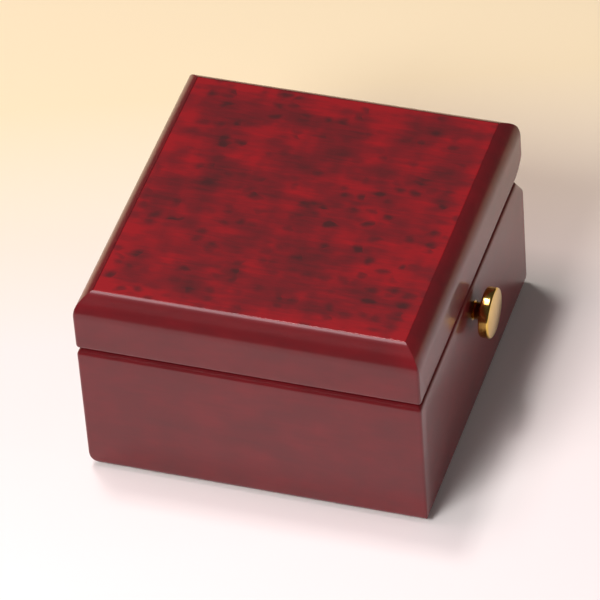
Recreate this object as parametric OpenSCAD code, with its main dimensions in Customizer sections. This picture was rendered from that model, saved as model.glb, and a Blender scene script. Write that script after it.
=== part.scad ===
// Cylinder music box: a lacquered wooden case with a hinged lid. A divider splits the base into a
// velvet-lined tray and a glazed compartment that holds the movement. X runs along the front,
// Y from front to back, Z up. The origin is the centre of the face that the box rests on.

/* [Case] */
// Width of the case along the front
case_w = 102; // [100:0.5:106]
// Depth of the case from front to back
case_d = 106; // [105:0.5:110]
// Height of the closed case with its felt
case_h = 65; // [64.5:0.5:68]
// Height of the parting line over the table
parting_z = 45.5; // [45.3:0.1:46]
// Gap between the lid and the base
parting_gap = 0.6; // [0.3:0.05:0.6]
// Thickness of the boards and rails
wall_t = 8; // [7.8:0.1:8.4]
// Rounding of the upper edges of the base
base_edge_r = 2; // [1:0.1:2.4]
// Rounding of the lower edges of the base at the front and right
foot_edge_r = 2.2; // [1.5:0.1:2.6]
// Rounding of the lower edges of the base at the back and left
far_foot_r = 5.5; // [5:0.1:6]
// Width of the bevel along the back of the base
bevel_in = 6.8; // [6.4:0.1:6.9]
// Height of the bevel along the back of the base
bevel_drop = 8.2; // [7.8:0.1:8.4]
// Easing of the upright corners
corner_r = 0.9; // [0.5:0.1:1.2]
// Thickness of the felt under the walls
felt_t = 0.8; // [0.6:0.1:1]
// Thickness of the bottom panel
floor_t = 4; // [3.8:0.1:4.2]
// Height of the underside of the bottom panel
floor_z = 14; // [13.8:0.1:14.2]

/* [Lid] */
// Distance from the side of the lid to the crease around its top
crease_in = 5; // [4.5:0.1:5.5]
// Height of the rounded moulding under the crease
crease_drop = 7.6; // [7:0.1:8]
// Thickness of the burl top panel
top_t = 4.5; // [4:0.1:4.8]
// Rounding of the lower edges of the lid
lid_edge_r = 1.5; // [1:0.1:2]
// Radius of the hollowed-off lower back edge of the lid
back_arc_r = 9.6; // [9.2:0.1:10]

/* [Stop knob] */
// Diameter of the knob's head
knob_d = 15; // [13:0.5:16]
// Thickness of the knob's head
knob_t = 3.5; // [3:0.1:4]
// Gap between the wall and the knob's head
knob_neck = 3; // [2.5:0.1:3.5]
// Height of the knob's axis
knob_z = 35.5; // [35.3:0.1:35.7]
// Travel of the knob
knob_travel = 4; // [3:0.5:4]

/* [Movement] */
// Number of teeth in the comb
comb_teeth = 18; // [12:1:18]
// Pins along each track of the cylinder
track_pins = 3; // [1:1:4]
// Span of the winding key's wings
key_span = 25; // [22:0.5:28]

/* [Hidden] */
$fn = 64;
eps = 0.01;

lacquer = [0.45, 0.1, 0.1];
burl = [0.5, 0.07, 0.09];
velvet = [0.3, 0.03, 0.06];
brass = [0.85, 0.68, 0.3];
steel = [0.75, 0.76, 0.78];
zinc = [0.62, 0.63, 0.64];

half_w = case_w / 2;
half_d = case_d / 2;
in_w = half_w - wall_t;
in_d = half_d - wall_t;
rim_z = parting_z - parting_gap / 2;
lid_z = parting_z + parting_gap / 2;
deck_z = floor_z + floor_t;
groove = 2.5;
crease_r = (pow(crease_in, 2) + pow(crease_drop, 2)) / (2 * crease_in);

// Divider and linings
divider_x = [-6, -2];
glass_z = 41;
glass_t = 2;
ledge = 3;
card_t = 1.5;
pad_t = 2.5;
lid_pad_t = 3.5;
lining_top = rim_z - 1.3;

// Hinges
hinge_x = [-28, 28];
hinge_len = 22;
hinge_y = half_d - 3.5;
barrel_r = 1.9;
leaf_t = 0.9;
leaf_y = in_d + 0.1;
pin_r = 0.8;
knuckle = 7;
knuckle_play = 0.1;
hinge_screw_dx = 7.6;
hinge_screw_y = in_d + 1.2;
bevel_ease = 2;
back_arc_in = wall_t - 0.1;

// Movement: places
bed = [1, 39, -30, 30];
bed_t = 2.5;
bed_z = deck_z + bed_t;
cyl_x = 9;
cyl_z = 30;
cyl_r = 6.5;
cyl_y = [-15, 5];
pin_h = 0.8;
spring_y = 17.5;
play = 0.2;
// Crown teeth on the barrel and the wheel that they drive
drive_m = 0.5;
drive_n = 26;
crown_n = 38;
crown_pitch_r = drive_m * crown_n / 2;
crown_face = 1.6;
crown_z = cyl_z - drive_m * drive_n / 2;
// Great wheel and pinion
train_m = 0.4;
great_n = 36;
pinion_n = 12;
train_dist = train_m * (great_n + pinion_n) / 2;
train_angle = -12;
arbor_x = cyl_x + train_dist * cos(train_angle);
arbor_z = cyl_z + train_dist * sin(train_angle);
// Worm and its wheel
worm_m = 0.5;
worm_n = 20;
worm_y = -20.6;
worm_core = 1.5;
worm_lobe = 0.45;
worm_x = arbor_x + worm_m * (worm_n / 2 + 0.7) + worm_core;
fan_r = 5;
fan_z = [35, 38.6];
screw_spots = [[4.5, -27], [35, -27], [30, 26]];
arm_x = [33, 36];
arm_y = [-22.4, 2.2];
comb_y = -13.4;
comb_pitch = 0.93;

// ---------- shared shapes ----------

// The waste outside a rounded corner at the origin, for material towards +x and +y.
module corner_waste(r) {
    difference() {
        translate([-1, -1])
            square(r + 1);
        translate([r, r])
            circle(r);
    }
}

// A square-cornered plate from x0 to x1 and y0 to y1, its corners rounded by r.
module rounded_plate(x0, x1, y0, y1, r) {
    translate([x0 + r, y0])
        square([x1 - x0 - 2 * r, y1 - y0]);
    translate([x0, y0 + r])
        square([x1 - x0, y1 - y0 - 2 * r]);
    for (x = [x0 + r, x1 - r], y = [y0 + r, y1 - r])
        translate([x, y])
            circle(r);
}

// A box between two opposite corners.
module box(a, b) {
    translate(a)
        cube(b - a);
}

// Keeps what a board of the frame holds after its mitres are cut: side 0 front, 1 right, 2 back, 3 left.
module mitred(side) {
    a = [[-half_w, -half_d], [half_w, -half_d], [half_w, half_d], [-half_w, half_d]];
    b = [[-in_w, -in_d], [in_w, -in_d], [in_w, in_d], [-in_w, in_d]];
    next = (side + 1) % 4;
    intersection() {
        linear_extrude(case_h + 1)
            intersection() {
                polygon([a[side], a[next], b[next], b[side]]);
                rounded_plate(-half_w, half_w, -half_d, half_d, corner_r);
            }
        children();
    }
}

// A moulding with its outer face at y = 0 and its thickness towards +y, run along one side.
module run_along(side) {
    along = side % 2 == 0 ? half_w : half_d;
    off = side % 2 == 0 ? half_d : half_w;
    rotate([0, 0, 90 * side])
        translate([-along - 1, -off, 0])
            rotate([90, 0, 90])
                linear_extrude(2 * along + 2)
                    children();
}

// Cross-section of a base board, its outer face at x = 0.
module board_section() {
    difference() {
        translate([0, felt_t])
            square([wall_t, rim_z - felt_t]);
        translate([0, felt_t])
            corner_waste(foot_edge_r);
        translate([0, rim_z])
            mirror([0, 1])
                corner_waste(base_edge_r);
    }
}

// Runs a cross-section (x along Y, y along Z) right across the width of the case.
module across_the_case() {
    translate([-half_w - 1, 0, 0])
        rotate([90, 0, 90])
            linear_extrude(case_w + 2)
                children();
}

// The waste behind the base's back bevel, and outside the easing of the bevel's lower edge.
module base_bevel_waste() {
    lean = atan(bevel_in / bevel_drop);
    edge_z = rim_z - bevel_drop;
    reach = bevel_ease * tan(lean / 2);
    mid = [half_d - bevel_ease, edge_z - reach];
    on_bevel = [half_d - reach * sin(lean), edge_z + reach * cos(lean)];
    across_the_case() {
        polygon([
            [half_d - bevel_in, rim_z], [half_d, edge_z], [half_d + 1, edge_z],
            [half_d + 1, rim_z + 1], [half_d - bevel_in, rim_z + 1]
        ]);
        difference() {
            polygon([
                mid, [half_d + 1, mid.y], [half_d + 1, edge_z + 1],
                on_bevel + [cos(lean), sin(lean)]
            ]);
            translate(mid)
                circle(bevel_ease);
        }
    }
}

// The waste under the arc that takes off the lid's lower back edge.
module lid_arc_waste() {
    across_the_case()
        difference() {
            translate([half_d - back_arc_in, lid_z - 1])
                square([back_arc_in + 1, 1 + back_arc_r / 2]);
            translate([half_d - back_arc_in, lid_z + back_arc_r])
                circle(back_arc_r, $fn = 160);
        }
}

// The waste of the wide rounding at the foot of the back and the left side.
module far_foot_waste() {
    for (side = [2, 3])
        run_along(side)
            translate([0, felt_t])
                corner_waste(far_foot_r);
}

module board(side) {
    color(lacquer)
        difference() {
            mitred(side)
                run_along(side)
                    board_section();
            floor_block();
            base_bevel_waste();
            far_foot_waste();
        }
}

module floor_block() {
    box([-in_w - groove, -in_d - groove, floor_z], [in_w + groove, in_d + groove, deck_z]);
}

// Cross-section of a lid rail, its outer face at x = 0, with the seat of the top panel cut in it.
module rail_section() {
    difference() {
        translate([0, lid_z])
            square([wall_t, case_h - lid_z]);
        translate([0, lid_z])
            corner_waste(lid_edge_r);
        difference() {
            translate([-1, case_h - crease_drop])
                square([crease_in + 1, crease_drop + 1]);
            translate([crease_r, case_h - crease_drop])
                circle(crease_r);
        }
        translate([crease_in, case_h - top_t])
            square([wall_t, top_t + 1]);
    }
}

module rail(side) {
    color(lacquer)
        difference() {
            mitred(side)
                run_along(side)
                    rail_section();
            lid_arc_waste();
        }
}

// A countersunk screw with its head's face up at z = 0.
module countersunk_screw(len) {
    translate([0, 0, -0.7])
        cylinder(h = 0.7, r1 = 0.5, r2 = 1);
    translate([0, 0, -len])
        cylinder(h = len - 0.6, r = 0.55);
}

// Cuts a screwdriver slot across the face at z = 0.
module slotted(len, wide, deep) {
    difference() {
        children();
        translate([0, 0, -deep / 2 + eps])
            cube([len, wide, deep], center = true);
    }
}

// Places children at the four screws of one row of hinge leaves.
module at_hinge_screws(z) {
    for (x = hinge_x, s = [-1, 1])
        translate([x + s * hinge_screw_dx, hinge_screw_y, z])
            children();
}

// Half of the angle that a tooth fills at radius r: involute flanks at 20 degrees.
function involute(rb, r) = let (t = sqrt(max(0, pow(r / rb, 2) - 1)) * 180 / PI) t - atan(t * PI / 180);
function half_tooth(n, m, r) =
    let (rp = m * n / 2, rb = rp * cos(20))
    90 / n - play / 2 / rp * 180 / PI + involute(rb, rp) - involute(rb, max(r, rb));
function polar(r, a) = [r * cos(a), r * sin(a)];

// A spur wheel's outline, with a tooth centred on the x axis.
module wheel_outline(n, m, tip = 0.8) {
    root = m * (n / 2 - 1.15);
    top = m * (n / 2 + tip);
    low = max(root + 0.02, m * n / 2 * cos(20));
    radii = [root, low, low + (top - low) / 3, low + (top - low) * 2 / 3, top];
    polygon([
        for (i = [0:n - 1])
            each concat(
                [for (r = radii) polar(r, i * 360 / n - half_tooth(n, m, r))],
                [for (k = [4:-1:0]) polar(radii[k], i * 360 / n + half_tooth(n, m, radii[k]))]
            )
    ]);
}

// A solid lying along Y from y0 to y1, its outline's x along X and its y along Z.
module along_y(x, z, y0, y1) {
    translate([x, y1, z])
        rotate([90, 0, 0])
            linear_extrude(y1 - y0)
                children();
}

// ---------- base ----------

module front_board() {
    board(0);
}

module right_board() {
    color(lacquer)
        difference() {
            board(1);
            translate([in_w - 1, 0, knob_z])
                rotate([0, 90, 0])
                    cylinder(h = wall_t + 2, r = 3);
        }
}

module back_board() {
    color(lacquer)
        difference() {
            board(2);
            hinge_room();
            hinge_plates(leaf_side = -1, reach = hinge_y - 1);
            at_hinge_screws(rim_z)
                countersunk_screw(7);
        }
}

module left_board() {
    board(3);
}

module bottom_panel() {
    color("peru")
        difference() {
            floor_block();
            translate([cyl_x, spring_y, floor_z - 1])
                cylinder(h = floor_t + 2, r = 4);
            for (p = screw_spots)
                translate([p.x, p.y, floor_z - 1])
                    cylinder(h = floor_t + 2, r = 1.6);
        }
}

module base_felt() {
    color("maroon")
        linear_extrude(felt_t)
            difference() {
                rounded_plate(
                    -half_w + far_foot_r, half_w - foot_edge_r, -half_d + foot_edge_r, half_d - far_foot_r, 1
                );
                square([2 * in_w, 2 * in_d], center = true);
            }
}

module divider() {
    color(lacquer)
        box([divider_x[0], -in_d, deck_z], [divider_x[1], in_d, glass_z]);
}

// Two L-shaped strips that carry the glass, with a break for the stop rod on the right.
module glass_ledges() {
    color(lacquer) {
        for (s = [-1, 1])
            box(
                [divider_x[1], s > 0 ? in_d - ledge : -in_d, glass_z - ledge],
                [in_w, s > 0 ? in_d : -in_d + ledge, glass_z]
            );
        for (s = [-1, 1])
            box(
                [in_w - 1.6, s > 0 ? 6 : -in_d + ledge, glass_z - 1.6],
                [in_w, s > 0 ? in_d - ledge : -6, glass_z]
            );
    }
}

// The glass over the movement, with a finger notch at the front.
module glass_cover() {
    color([0.85, 0.95, 0.95, 0.35])
        difference() {
            box([divider_x[0], -in_d + 0.2, glass_z], [in_w - 0.2, in_d - 0.2, glass_z + glass_t]);
            translate([(in_w + divider_x[1]) / 2, -in_d - 1, glass_z - 1])
                cylinder(h = glass_t + 2, r = 7);
        }
}

// ---------- tray ----------

module tray_floor_pad() {
    color(velvet)
        box(
            [-in_w + card_t, -in_d + card_t, deck_z],
            [divider_x[0] - card_t, in_d - card_t, deck_z + pad_t]
        );
}

module tray_front_lining() {
    color(velvet)
        box([-in_w, -in_d, deck_z], [divider_x[0], -in_d + card_t, lining_top]);
}

module tray_back_lining() {
    color(velvet)
        box([-in_w, in_d - card_t, deck_z], [divider_x[0], in_d, lining_top]);
}

module tray_left_lining() {
    color(velvet)
        box([-in_w, -in_d + card_t, deck_z], [-in_w + card_t, in_d - card_t, lining_top]);
}

module tray_right_lining() {
    color(velvet)
        box(
            [divider_x[0] - card_t, -in_d + card_t, deck_z],
            [divider_x[0], in_d - card_t, lining_top]
        );
}

// ---------- lid ----------

module lid_front_rail() {
    rail(0);
}

module lid_right_rail() {
    rail(1);
}

module lid_back_rail() {
    color(lacquer)
        difference() {
            rail(2);
            hinge_room();
            hinge_plates(leaf_side = 1, reach = hinge_y - 1);
            at_hinge_screws(lid_z)
                mirror([0, 0, 1])
                    countersunk_screw(7);
        }
}

module lid_left_rail() {
    rail(3);
}

module lid_top_panel() {
    color(burl)
        box(
            [-half_w + crease_in, -half_d + crease_in, case_h - top_t],
            [half_w - crease_in, half_d - crease_in, case_h]
        );
}

module lid_pad() {
    color(velvet)
        box(
            [-in_w + 0.4, -in_d + 0.4, case_h - top_t - lid_pad_t],
            [in_w - 0.4, in_d - 0.4, case_h - top_t]
        );
}

// ---------- hinges ----------

// The groove that each hinge's barrel turns in.
module hinge_room() {
    for (x = hinge_x)
        translate([x - hinge_len / 2 - 0.3, hinge_y, parting_z])
            rotate([0, 90, 0])
                cylinder(h = hinge_len + 0.6, r = barrel_r + 0.3);
}

// The flat plates of the leaves on the lid (1) or on the base (-1). Cut deeper, they are their mortises.
module hinge_plates(leaf_side, reach = hinge_y - barrel_r - 0.3) {
    z0 = leaf_side > 0 ? lid_z : rim_z - leaf_t;
    for (x = hinge_x)
        box([x - hinge_len / 2, leaf_y, z0], [x + hinge_len / 2, reach, z0 + leaf_t]);
}

// Knuckles from start to start + len along the hinge, with a strap to the plate.
module hinge_knuckle(x, start, len, leaf_side, bore_r) {
    x0 = x - hinge_len / 2 + start;
    z0 = leaf_side > 0 ? lid_z : rim_z - leaf_t;
    difference() {
        union() {
            translate([x0, hinge_y, parting_z])
                rotate([0, 90, 0])
                    cylinder(h = len, r = barrel_r);
            box([x0, hinge_y - barrel_r - 0.31, z0], [x0 + len, hinge_y - 1, z0 + leaf_t]);
        }
        translate([x0 - 1, hinge_y, parting_z])
            rotate([0, 90, 0])
                cylinder(h = len + 2, r = bore_r);
    }
}

module hinge_base_leaves() {
    color(brass)
        difference() {
            union() {
                hinge_plates(leaf_side = -1);
                for (x = hinge_x, start = [0, hinge_len - knuckle])
                    hinge_knuckle(x, start, knuckle, -1, pin_r);
            }
            at_hinge_screws(rim_z)
                countersunk_screw(7);
        }
}

module hinge_lid_leaves() {
    color(brass)
        difference() {
            union() {
                hinge_plates(leaf_side = 1);
                for (x = hinge_x)
                    hinge_knuckle(
                        x, knuckle + knuckle_play, hinge_len - 2 * (knuckle + knuckle_play), 1, pin_r + 0.05
                    );
            }
            at_hinge_screws(lid_z)
                mirror([0, 0, 1])
                    countersunk_screw(7);
        }
}

module hinge_pins() {
    color(steel)
        for (x = hinge_x)
            translate([x - hinge_len / 2, hinge_y, parting_z])
                rotate([0, 90, 0])
                    cylinder(h = hinge_len, r = pin_r);
}

module hinge_base_screws() {
    color(brass)
        at_hinge_screws(rim_z)
            slotted(3, 0.3, 0.25)
                countersunk_screw(7);
}

module hinge_lid_screws() {
    color(brass)
        at_hinge_screws(lid_z)
            mirror([0, 0, 1])
                slotted(3, 0.3, 0.25)
                    countersunk_screw(7);
}

// ---------- stop knob ----------

// Turns a profile (x out along the knob's axis from the wall, y its radius) into a solid.
module turned_at_wall() {
    translate([half_w, 0, knob_z])
        rotate([0, 90, 0])
            rotate_extrude()
                rotate([0, 0, 90])
                    mirror([0, 1])
                        children();
}

module knob_bush() {
    color(brass)
        translate([in_w, 0, knob_z])
            rotate([0, 90, 0])
                difference() {
                    cylinder(h = wall_t, r = 3);
                    translate([0, 0, -1])
                        cylinder(h = wall_t + 2, r = 1.55);
                }
}

// The head: a disc with eased edges and a face that rises a little to its centre.
module stop_knob() {
    edge = 0.6;
    r = knob_d / 2;
    dome = 0.35;
    dome_r = (r * r + dome * dome) / (2 * dome);
    color(brass)
        translate([half_w, 0, knob_z])
            rotate([0, 90, 0])
                difference() {
                    union() {
                        cylinder(h = knob_neck, r = 2.6);
                        rotate_extrude()
                            translate([0, knob_neck])
                                intersection() {
                                    union() {
                                        square([r - edge, knob_t]);
                                        translate([0, edge])
                                            square([r, knob_t - 2 * edge]);
                                        for (y = [edge, knob_t - edge])
                                            translate([r - edge, y])
                                                circle(edge);
                                    }
                                    translate([0, knob_t - dome_r])
                                        intersection() {
                                            circle(dome_r, $fn = 240);
                                            translate([0, dome_r - 2 * knob_t])
                                                square([2 * r, 4 * knob_t]);
                                        }
                                }
                    }
                    translate([0, 0, -1])
                        cylinder(h = 3.5, r = 1.5);
                }
}

module stop_rod() {
    color(steel)
        translate([arm_x[0], 0, knob_z])
            rotate([0, 90, 0])
                cylinder(h = half_w + 2.5 - arm_x[0], r = 1.5);
}

// The collar that meets the wall when the knob is out.
module rod_collar() {
    color(brass)
        translate([in_w - knob_travel - 2, 0, knob_z])
            rotate([0, 90, 0])
                difference() {
                    cylinder(h = 2, r = 2.8);
                    translate([0, 0, -1])
                        cylinder(h = 4, r = 1.5);
                }
}

// The arm runs from the rod to the fan and ends in a finger that stands in the fan's way.
module stop_arm() {
    color(brass)
        difference() {
            union() {
                box([arm_x[0], -2.2, knob_z - 2], [arm_x[1], arm_y[1], 38.2]);
                box([arm_x[0], arm_y[0], 37], [arm_x[1], arm_y[1], 38.2]);
                box([worm_x + fan_r + 0.3, arm_y[0], 36], [arm_x[1], arm_y[0] + 3.4, 38.2]);
            }
            translate([arm_x[0] - 1, 0, knob_z])
                rotate([0, 90, 0])
                    cylinder(h = 6, r = 1.5);
        }
}

// ---------- movement: frame ----------

module bedplate() {
    color(zinc)
        difference() {
            union() {
                translate([0, 0, deck_z])
                    linear_extrude(bed_t)
                        rounded_plate(bed[0], bed[1], bed[2], bed[3], 3);
                // pedestal of the comb
                box([30, comb_y - 0.4, deck_z], [38, comb_y + comb_teeth * comb_pitch + 1.6, 29.3]);
                // cup of the worm's lower pivot
                translate([worm_x, worm_y, deck_z])
                    cylinder(h = bed_t + 1.8, r = 1.8);
            }
            translate([cyl_x, spring_y, deck_z - 1])
                cylinder(h = bed_t + 2, r = 2.06);
            translate([worm_x, worm_y, bed_z + 0.6])
                cylinder(h = 3, r = 0.65);
            for (p = screw_spots)
                translate([p.x, p.y, deck_z - 1])
                    cylinder(h = bed_t + 2, r = 1.5);
            for (y = comb_screw_y())
                translate([34, y, 22])
                    cylinder(h = 10, r = 1.25);
        }
}

function comb_screw_y() = [comb_y + 2.6, comb_y + comb_teeth * comb_pitch - 1.6];

// Pan-head screws from below the bottom panel into the bedplate.
module movement_screws() {
    color(steel)
        for (p = screw_spots)
            translate([p.x, p.y, 0])
                difference() {
                    union() {
                        translate([0, 0, floor_z - 1.8])
                            cylinder(h = 1.8, r = 2.8);
                        translate([0, 0, floor_z - 1])
                            cylinder(h = floor_t + bed_t + 0.9, r = 1.45);
                    }
                    translate([0, 0, floor_z - 1.8])
                        cube([7, 0.8, 1.4], center = true);
                }
}

// An upright plate across Y with a rounded top and a bore, standing on the bedplate.
module bearing_plate(x, z, y0, y1, half, bore) {
    difference() {
        along_y(x, 0, y0, y1)
            difference() {
                union() {
                    translate([-half, bed_z])
                        square([2 * half, z - bed_z]);
                    translate([0, z])
                        circle(half);
                }
                translate([0, z])
                    circle(bore);
            }
    }
}

module rear_bearing() {
    color(brass)
        bearing_plate(cyl_x, cyl_z, cyl_y[1] + play, cyl_y[1] + 1.4, 3, 1.05);
}

// The front plate carries the cylinder's arbor and the pinion's arbor.
module train_plate() {
    color(brass)
        along_y(0, 0, -24.5, -23)
            difference() {
                union() {
                    translate([cyl_x - 3.2, bed_z])
                        square([arbor_x - cyl_x + 6, 33 - bed_z]);
                }
                translate([cyl_x, cyl_z])
                    circle(1.05);
                translate([arbor_x, arbor_z])
                    circle(0.85);
            }
}

module arbor_post() {
    color(brass)
        bearing_plate(arbor_x, arbor_z, -14.7, -13.8, 1.5, 0.85);
}

// ---------- movement: comb ----------

// A tooth to each track. The teeth at the front are cut free furthest, and those at the back least.
module comb() {
    tip_x = cyl_x + cyl_r + pin_h + 0.1;
    color(steel)
        difference() {
            union() {
                box([30, comb_y, 29.3], [38, comb_y + comb_teeth * comb_pitch + 1.2, 31.3]);
                for (i = [0:comb_teeth - 1])
                    translate([0, comb_y + 0.7 + i * comb_pitch, 0]) {
                        box([tip_x, 0, 29.7], [30.5, 0.68, 30.5]);
                        box([22.5 - 3.5 * i / comb_teeth, 0, 29.5], [30.5, 0.68, 30.9]);
                    }
            }
            for (y = comb_screw_y())
                translate([34, y, 28])
                    cylinder(h = 5, r = 1.3);
        }
}

module comb_screws() {
    color(steel)
        for (y = comb_screw_y())
            translate([34, y, 0])
                difference() {
                    union() {
                        translate([0, 0, 31.3])
                            cylinder(h = 1.5, r = 2.2);
                        translate([0, 0, 23])
                            cylinder(h = 8.4, r = 1.2);
                    }
                    translate([0, 0, 32.8])
                        cube([5, 0.6, 1.2], center = true);
                }
}

// ---------- movement: spring and winding ----------

// A drum on a flange whose rim carries crown teeth, each a ridge that points at the axis.
module spring_barrel() {
    rim_top = crown_z - 1;
    color(brass)
        translate([cyl_x, spring_y, 0])
            difference() {
                union() {
                    translate([0, 0, bed_z + 0.5])
                        cylinder(h = rim_top - bed_z - 0.5, r = crown_pitch_r + 1.3);
                    cylinder_wall(7.6, rim_top - eps, 34);
                    for (i = [0:crown_n - 1])
                        rotate([0, 0, -90 + (i + 0.5) * 360 / crown_n])
                            crown_tooth(rim_top);
                }
                translate([0, 0, rim_top + 0.4])
                    cylinder(h = 20, r = 6.9);
                translate([0, 0, bed_z])
                    cylinder(h = 10, r = 2.06);
            }
}

module cylinder_wall(r, z0, z1) {
    translate([0, 0, z0])
        cylinder(h = z1 - z0, r = r);
}

// One ridge: a rack tooth's section, drawn out along the radius.
module crown_tooth(z0) {
    tip = drive_m * 0.8;
    half = PI * drive_m / 4 - play / 2;
    translate([crown_pitch_r - crown_face / 2 - 0.1, 0, crown_z])
        rotate([90, 0, 90])
            linear_extrude(crown_face + 0.3)
                polygon([
                    [-half - tan(20), z0 - crown_z - eps],
                    [half + tan(20), z0 - crown_z - eps],
                    [half - tip * tan(20), tip],
                    [-half + tip * tan(20), tip]
                ]);
}

module barrel_cover() {
    color(brass)
        translate([cyl_x, spring_y, 34])
            difference() {
                cylinder(h = 1, r = 7.6);
                translate([0, 0, -1])
                    cylinder(h = 3, r = 2.06);
            }
}

// A strip wound in a spiral between the arbor and the drum.
module mainspring() {
    turns = 6;
    step = 15;
    inner = 2.5;
    pitch = 0.66;
    thick = 0.32;
    angles = [for (a = [0:step:turns * 360]) a];
    color(steel)
        translate([cyl_x, spring_y, crown_z])
            linear_extrude(33.6 - crown_z)
                polygon(concat(
                    [for (a = angles) polar(inner + pitch * a / 360, a)],
                    [for (k = [len(angles) - 1:-1:0]) polar(inner + thick + pitch * angles[k] / 360, angles[k])]
                ));
}

module winding_arbor() {
    color(steel)
        translate([cyl_x, spring_y, 4.5])
            cylinder(h = 31.5, r = 2);
}

// The collar under the bedplate that holds the arbor up.
module arbor_collar() {
    color(steel)
        translate([cyl_x, spring_y, floor_z + 1])
            difference() {
                cylinder(h = 2.6, r = 3.4);
                translate([0, 0, -1])
                    cylinder(h = 5, r = 2);
            }
}

// A butterfly key: two pierced lobes on a boss that screws on the arbor.
module winding_key() {
    lobe_r = 4;
    lobe_x = key_span / 2 - lobe_r;
    color(brass)
        translate([cyl_x, spring_y, 0])
            difference() {
                union() {
                    translate([0, 0, 2.6])
                        cylinder(h = 10.4, r = 3.2);
                    along_y(0, 6, -0.9, 0.9)
                        difference() {
                            union() {
                                for (s = [-1, 1])
                                    translate([s * lobe_x, 0])
                                        circle(lobe_r);
                                square([2 * lobe_x, 5], center = true);
                            }
                            for (s = [-1, 1])
                                translate([s * lobe_x, 0])
                                    circle(1.7);
                        }
                }
                translate([0, 0, 4.5])
                    cylinder(h = 10, r = 2);
            }
}

// ---------- movement: cylinder and governor ----------

// A brass tube with closed ends. Its pins stand on tracks, one track to each tooth of the comb.
module pinned_cylinder() {
    turn_step = 137.5;
    color(brass)
        difference() {
            union() {
                along_y(cyl_x, cyl_z, cyl_y[0], cyl_y[1])
                    circle(cyl_r);
                for (i = [0:comb_teeth - 1], k = [0:track_pins - 1])
                    translate([cyl_x, comb_y + 1.04 + i * comb_pitch, cyl_z])
                        rotate([0, i * turn_step + k * 360 / track_pins + 11 * sin(70 * i), 0])
                            translate([0, 0, cyl_r - 0.4])
                                cylinder(h = pin_h + 0.4, r = 0.22, $fn = 16);
            }
            along_y(cyl_x, cyl_z, cyl_y[0] + 1, cyl_y[1] - 1)
                circle(cyl_r - 0.9);
            along_y(cyl_x, cyl_z, cyl_y[0] - 1, cyl_y[1] + 1)
                circle(1);
        }
}

module cylinder_arbor() {
    color(steel)
        along_y(cyl_x, cyl_z, -24.8, 9)
            circle(1);
}

// The wheel that the barrel's crown teeth drive, with one tooth pointing down at the crown.
module crown_driven_wheel() {
    y = spring_y - crown_pitch_r;
    color(brass)
        along_y(cyl_x, cyl_z, y - crown_face / 2, y + crown_face / 2)
            difference() {
                rotate(-90)
                    wheel_outline(drive_n, drive_m);
                circle(1);
                for (i = [0:4])
                    rotate(i * 72)
                        translate([3.7, 0])
                            circle(1.1);
            }
}

module great_wheel() {
    color(brass)
        along_y(cyl_x, cyl_z, -17.2, -15.6)
            difference() {
                rotate(train_angle)
                    wheel_outline(great_n, train_m);
                circle(1);
                for (i = [0:4])
                    rotate(i * 72)
                        translate([4.2, 0])
                            circle(1.3);
            }
}

module pinion_arbor() {
    color(steel) {
        along_y(arbor_x, arbor_z, -24.8, -13.5)
            circle(0.8);
        along_y(arbor_x, arbor_z, -17.5, -15.3)
            rotate(train_angle + 180 + 180 / pinion_n)
                wheel_outline(pinion_n, train_m, 0.7);
    }
}

module worm_wheel() {
    color(brass)
        along_y(arbor_x, arbor_z, worm_y - 0.5, worm_y + 0.5)
            difference() {
                wheel_outline(worm_n, worm_m, 0.7);
                circle(0.8);
            }
}

// A single-start thread: an off-centre circle carried up and turned once every pitch.
module worm() {
    pitch = PI * worm_m;
    turns = 2;
    color(steel)
        translate([worm_x, worm_y, 0]) {
            translate([0, 0, arbor_z - turns * pitch])
                linear_extrude(2 * turns * pitch, twist = -720 * turns, slices = 36 * turns, $fn = 18)
                    translate([worm_lobe, 0])
                        circle(worm_core);
            translate([0, 0, bed_z + 0.8])
                cylinder(h = 40 - bed_z - 0.8, r = 0.6);
        }
}

// Two flat wings on a hub, which beat the air.
module fan() {
    color(brass)
        translate([worm_x, worm_y, fan_z[0]])
            difference() {
                union() {
                    cylinder(h = fan_z[1] - fan_z[0], r = 1.3);
                    translate([-fan_r + 0.05, -0.2, 0])
                        cube([2 * fan_r - 0.1, 0.4, fan_z[1] - fan_z[0]]);
                }
                translate([0, 0, -1])
                    cylinder(h = 10, r = 0.6);
            }
}

// A post in front of the fan with an arm over it that holds the worm's upper pivot.
module governor_bracket() {
    half = 2.2;
    color(brass)
        difference() {
            union() {
                box([worm_x - half, -28.8, bed_z], [worm_x + half, -26.6, 40.4]);
                box([worm_x - half, -28.8, 39.2], [worm_x + half, worm_y, 40.4]);
                translate([worm_x, worm_y, 39.2])
                    cylinder(h = 1.2, r = half);
            }
            translate([worm_x, worm_y, 38])
                cylinder(h = 4, r = 0.65);
        }
}

front_board();
back_board();
left_board();
right_board();
bottom_panel();
base_felt();
divider();
glass_cover();
glass_ledges();
tray_floor_pad();
tray_front_lining();
tray_back_lining();
tray_left_lining();
tray_right_lining();
lid_front_rail();
lid_back_rail();
lid_left_rail();
lid_right_rail();
lid_top_panel();
lid_pad();
hinge_base_leaves();
hinge_lid_leaves();
hinge_pins();
hinge_base_screws();
hinge_lid_screws();
knob_bush();
stop_knob();
stop_rod();
rod_collar();
stop_arm();
bedplate();
movement_screws();
rear_bearing();
train_plate();
arbor_post();
comb();
comb_screws();
spring_barrel();
barrel_cover();
mainspring();
winding_arbor();
arbor_collar();
winding_key();
pinned_cylinder();
cylinder_arbor();
crown_driven_wheel();
great_wheel();
pinion_arbor();
worm_wheel();
worm();
fan();
governor_bracket();
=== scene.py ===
import math

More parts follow.
